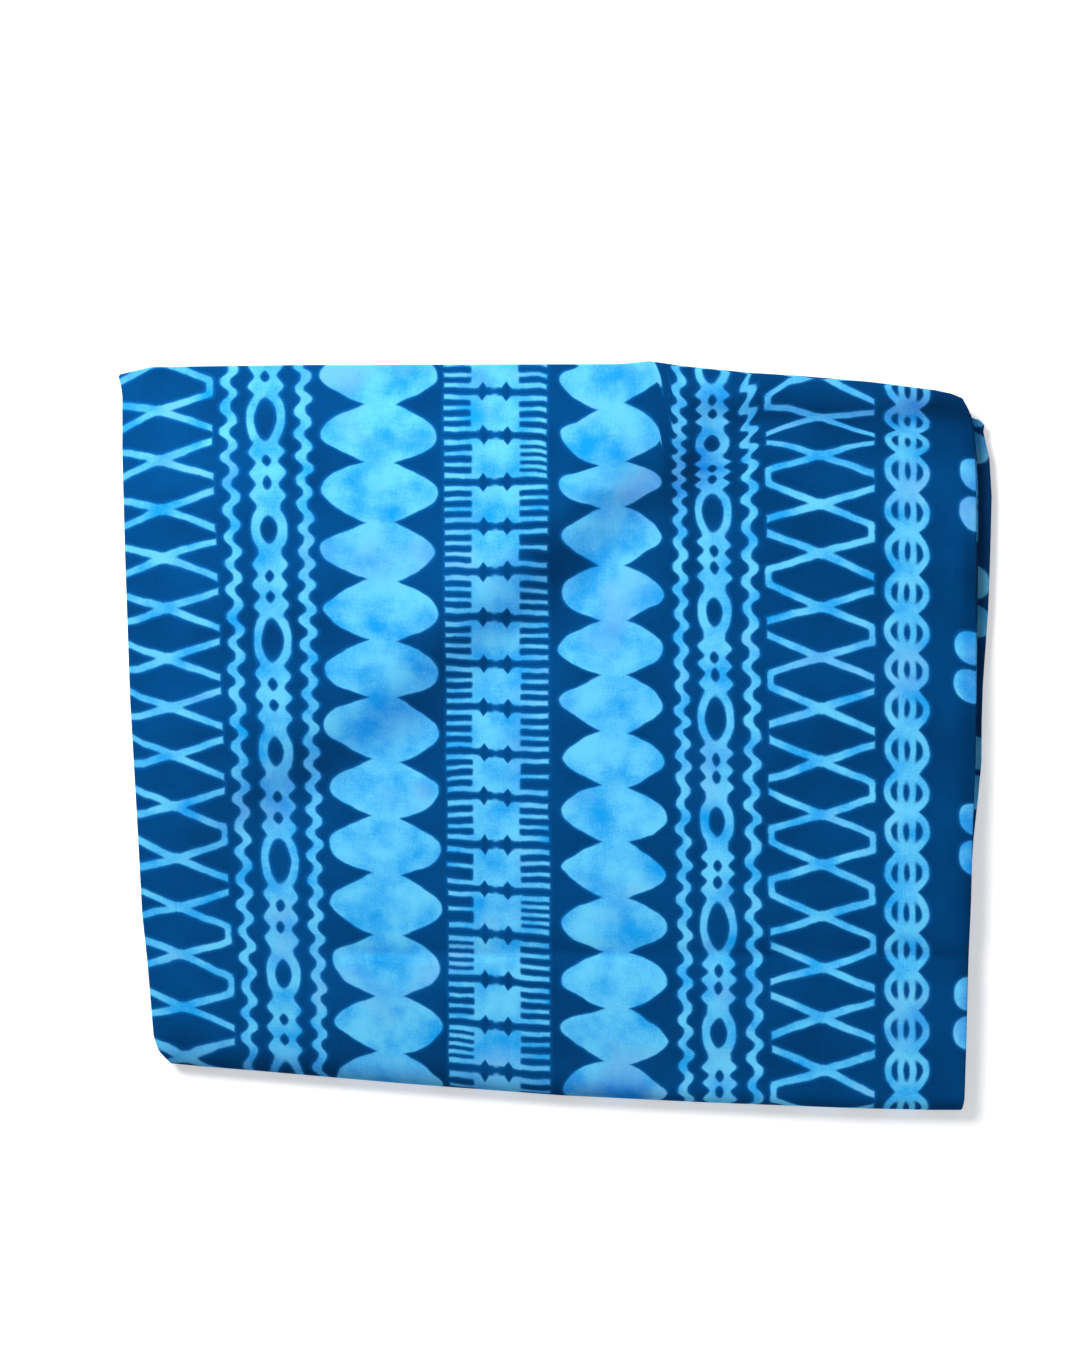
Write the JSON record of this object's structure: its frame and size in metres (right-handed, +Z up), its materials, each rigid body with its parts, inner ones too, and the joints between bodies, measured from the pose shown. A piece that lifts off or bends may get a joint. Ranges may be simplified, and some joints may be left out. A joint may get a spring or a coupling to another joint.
{
  "type": "folded length of wax print cloth",
  "caption": "Length of blue printed cotton, folded double across its width and back and forth into a flat stack with a rounded wrap at the front.",
  "frame": {"origin": "centre of the part in plan, at the underside of the bottom leaf where it rests on the table", "axes": "+X to the right along the rounded front wrap, +Y from the front wrap to the turns at the back, +Z up through the leaves"},
  "size_m": [0.6018, 0.5142, 0.0194],
  "materials": {
    "printed_cotton": "matt printed cotton, deep blue ground with light blue bands of motifs"
  },
  "bodies": {
    "root": {"cloth": "printed_cotton"}
  },
  "joints": []
}
